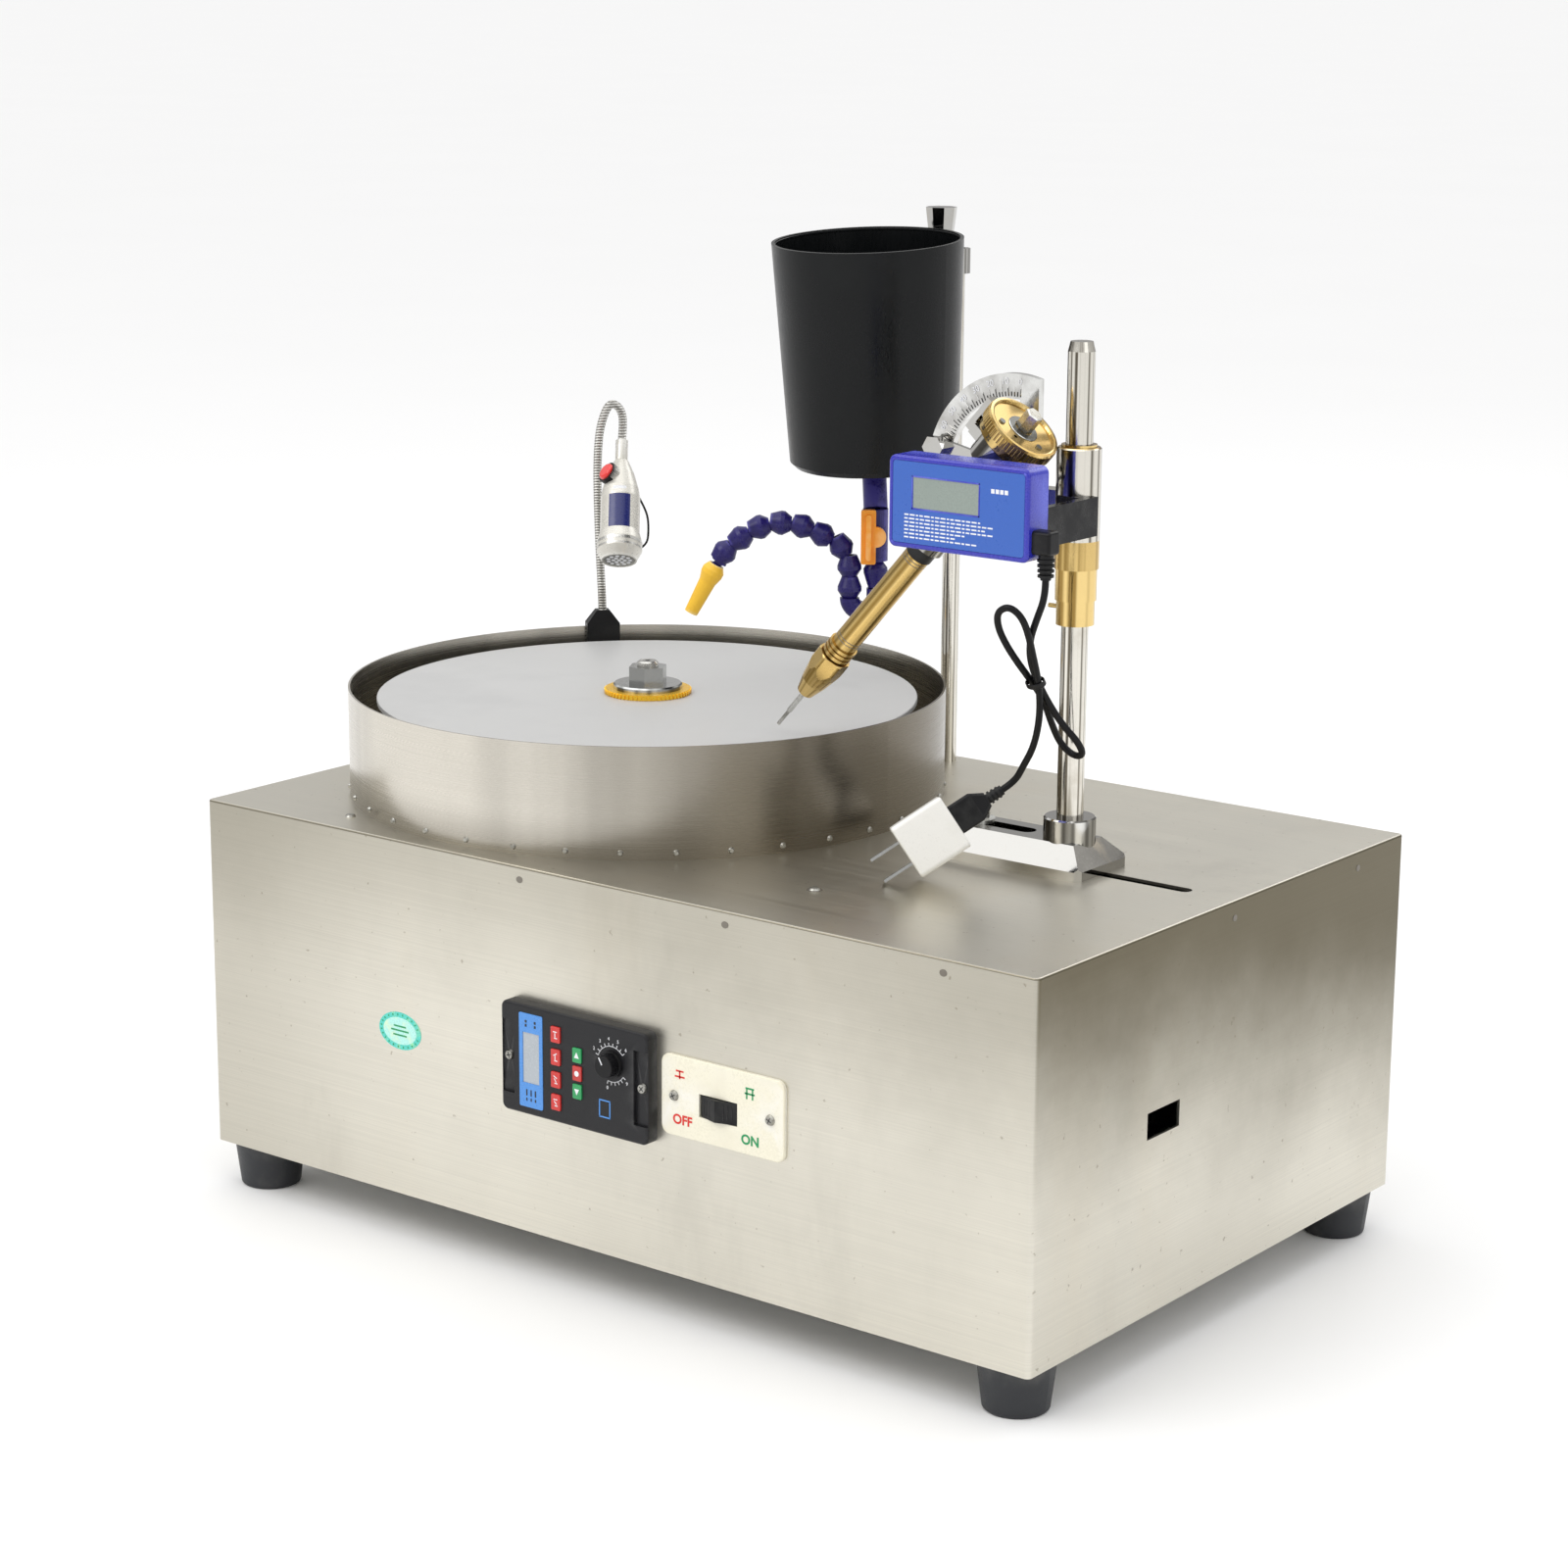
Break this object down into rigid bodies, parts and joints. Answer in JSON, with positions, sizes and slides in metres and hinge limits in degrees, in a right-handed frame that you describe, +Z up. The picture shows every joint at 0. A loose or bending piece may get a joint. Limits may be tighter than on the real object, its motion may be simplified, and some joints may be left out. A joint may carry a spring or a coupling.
{
  "type": "faceting machine",
  "caption": "Benchtop gem faceting machine: flat lap in a splash ring on a steel case, mast with angled quill and index wheel, digital angle gauge, water tank with hose, lamp.",
  "frame": {"origin": "on the bench, under the centre of the cabinet", "axes": "+X to the user's right along the front panel, +Y to the back, +Z up"},
  "size_m": [0.558, 0.385, 0.548],
  "materials": {
    "stainless_sheet": "brushed stainless sheet, handled and slightly stained",
    "bare_steel": "plain zinc-plated sheet and fasteners",
    "chrome": "polished chrome plate",
    "brass": "turned and polished",
    "platter_grey": "machined plate",
    "lap_face": "pale grey abrasive lap sheet",
    "black_rubber": "moulded",
    "black_plastic": "moulded",
    "grey_bezel": "moulded bezel",
    "display_blue": "display strip",
    "red_plastic": "moulded key",
    "green_plastic": "moulded key",
    "cream_plastic": "moulded",
    "blue_case": "moulded case",
    "gauge_panel": "printed face with a grey-green display",
    "white_plastic": "moulded",
    "black_steel": "black enamel",
    "cord_jacket": "soft jacket",
    "black_tank": "moulded cup",
    "hose_blue": "moulded segments",
    "orange_plastic": "moulded",
    "yellow_plastic": "moulded",
    "lens_clear": "moulded lens",
    "cast_grey": "motor casing"
  },
  "bodies": {
    "cabinet_group": {"cabinet": "stainless_sheet", "bottom_plate": "bare_steel", "rubber_feet": "black_rubber", "fasteners": "bare_steel", "splash_ring": "stainless_sheet", "drain_pipe": "black_rubber", "mains_gland": "black_plastic", "motor_body": "cast_grey", "bearing_housing": "platter_grey", "speed_controller": "grey_bezel", "display_strip": "display_blue", "switch_plate": "cream_plastic", "tank_post": "chrome", "lamp_base": "black_plastic"},
    "spindle": {"spindle_shaft": "bare_steel", "backing_plate": "platter_grey", "lap_disc": "lap_face", "brass_flange": "brass", "spindle_nut": "chrome"},
    "mast_carriage": {"base_bar": "chrome", "clamp_bolt": "bare_steel", "mast": "chrome"},
    "stop_collars": {"brass_collars": "brass"},
    "head": {"mast_sleeve": "chrome", "protractor": "chrome", "gauge_bracket": "black_steel", "gauge_case": "blue_case", "gauge_face": "gauge_panel", "gauge_plug": "black_plastic", "gauge_cord": "cord_jacket", "usb_plug": "black_plastic", "charger": "white_plastic"},
    "quill": {"quill_housing": "chrome", "pivot_pin": "bare_steel", "quill_tube": "brass"},
    "index": {"quill_spindle": "bare_steel", "chuck": "brass", "dop": "bare_steel", "index_wheel": "brass"},
    "detent": {"detent_lever": "chrome"},
    "speed_dial": {"speed_knob": "black_plastic"},
    "power_rocker": {"rocker": "black_plastic"},
    "tank_group": {"post_clamp": "chrome", "tank": "black_tank", "hose_inlet": "hose_blue", "hose_run": "hose_blue"},
    "clamp_screw": {"clamp_knob": "chrome"},
    "tap": {"valve_handle": "orange_plastic"},
    "spout": {"nozzle": "yellow_plastic"},
    "lamp_neck": {"gooseneck": "chrome"},
    "lamp": {"lamp_head": "cream_plastic", "lamp_lens": "lens_clear"},
    "lamp_switch": {"lamp_button": "red_plastic"},
    "red_key_1_press": {"red_key_1": "red_plastic"},
    "red_key_2_press": {"red_key_2": "red_plastic"},
    "red_key_3_press": {"red_key_3": "red_plastic"},
    "red_key_4_press": {"red_key_4": "red_plastic"},
    "key_up_press": {"key_up": "green_plastic"},
    "key_stop_press": {"key_stop": "red_plastic"},
    "key_down_press": {"key_down": "green_plastic"}
  },
  "joints": [
    {"name": "spindle_spin", "type": "hinge", "parent": "cabinet_group", "child": "spindle", "pos_m": [-0.109, 0.003, 0.28], "axis": [0, 0, 1], "continuous": true},
    {"name": "mast_travel", "type": "slide", "parent": "cabinet_group", "child": "mast_carriage", "axis": [1, 0, 0], "range_m": [-0.02, 0.02]},
    {"name": "collar_height", "type": "slide", "parent": "mast_carriage", "child": "stop_collars", "axis": [0, 0, 1], "range_m": [-0.05, 0]},
    {"name": "head_swing", "type": "hinge", "parent": "mast_carriage", "child": "head", "pos_m": [0.1775, 0.002, 0.42], "axis": [0, 0, 1], "range_deg": [-8, 10]},
    {"name": "quill_tilt", "type": "hinge", "parent": "head", "child": "quill", "pos_m": [0.1444, -0.031, 0.4287], "axis": [0, 1, 0], "range_deg": [0, 45]},
    {"name": "index_spin", "type": "hinge", "parent": "quill", "child": "index", "pos_m": [0.0112, -0.031, 0.2851], "axis": [0.6648, 0, 0.747], "continuous": true},
    {"name": "detent_lift", "type": "hinge", "parent": "quill", "child": "detent", "pos_m": [0.13869, -0.031, 0.45544], "axis": [0, -1, 0], "range_deg": [0, 6], "stiffness_Nm_per_rad": 0.5},
    {"name": "speed_dial_turn", "type": "hinge", "parent": "cabinet_group", "child": "speed_dial", "pos_m": [0.0243, -0.1855, 0.1346], "axis": [0, -1, 0], "range_deg": [-225, 40]},
    {"name": "power_rock", "type": "hinge", "parent": "cabinet_group", "child": "power_rocker", "pos_m": [0.0895, -0.1745, 0.122], "axis": [0, 0, 1], "range_deg": [-8, 8]},
    {"name": "red_key_1_travel", "type": "slide", "parent": "cabinet_group", "child": "red_key_1_press", "axis": [0, 1, 0], "range_m": [0, 0.0007], "stiffness_N_per_m": 400},
    {"name": "red_key_2_travel", "type": "slide", "parent": "cabinet_group", "child": "red_key_2_press", "axis": [0, 1, 0], "range_m": [0, 0.0007], "stiffness_N_per_m": 400},
    {"name": "red_key_3_travel", "type": "slide", "parent": "cabinet_group", "child": "red_key_3_press", "axis": [0, 1, 0], "range_m": [0, 0.0007], "stiffness_N_per_m": 400},
    {"name": "red_key_4_travel", "type": "slide", "parent": "cabinet_group", "child": "red_key_4_press", "axis": [0, 1, 0], "range_m": [0, 0.0007], "stiffness_N_per_m": 400},
    {"name": "key_up_travel", "type": "slide", "parent": "cabinet_group", "child": "key_up_press", "axis": [0, 1, 0], "range_m": [0, 0.0007], "stiffness_N_per_m": 400},
    {"name": "key_stop_travel", "type": "slide", "parent": "cabinet_group", "child": "key_stop_press", "axis": [0, 1, 0], "range_m": [0, 0.0007], "stiffness_N_per_m": 400},
    {"name": "key_down_travel", "type": "slide", "parent": "cabinet_group", "child": "key_down_press", "axis": [0, 1, 0], "range_m": [0, 0.0007], "stiffness_N_per_m": 400},
    {"name": "tank_swing", "type": "hinge", "parent": "cabinet_group", "child": "tank_group", "pos_m": [-0.0144, 0.1643, 0.515], "axis": [0, 0, 1], "range_deg": [-18, 18]},
    {"name": "clamp_screw_turn", "type": "hinge", "parent": "tank_group", "child": "clamp_screw", "pos_m": [-0.022, 0.1596, 0.525], "axis": [0, 0, 1], "range_deg": [-90, 90]},
    {"name": "tap_turn", "type": "hinge", "parent": "tank_group", "child": "tap", "pos_m": [-0.0233, 0.1018, 0.3675], "axis": [0.613, -0.7901, 0], "range_deg": [0, 90]},
    {"name": "spout_aim", "type": "hinge", "parent": "tank_group", "child": "spout", "pos_m": [-0.09488, 0.04548, 0.34753], "axis": [0.613, -0.7901, 0], "range_deg": [-12, 12]},
    {"name": "lamp_swivel", "type": "hinge", "parent": "cabinet_group", "child": "lamp_neck", "pos_m": [-0.2364, 0.112, 0.3], "axis": [0, 0, 1], "range_deg": [-40, 40]},
    {"name": "lamp_tilt", "type": "hinge", "parent": "lamp_neck", "child": "lamp", "pos_m": [-0.23121, 0.1248, 0.39798], "axis": [0.7901, 0.613, 0], "range_deg": [-10, 10]},
    {"name": "lamp_switch_travel", "type": "slide", "parent": "lamp", "child": "lamp_switch", "axis": [0.345, 0.7339, -0.5851], "range_m": [0, 0.001], "stiffness_N_per_m": 400}
  ]
}
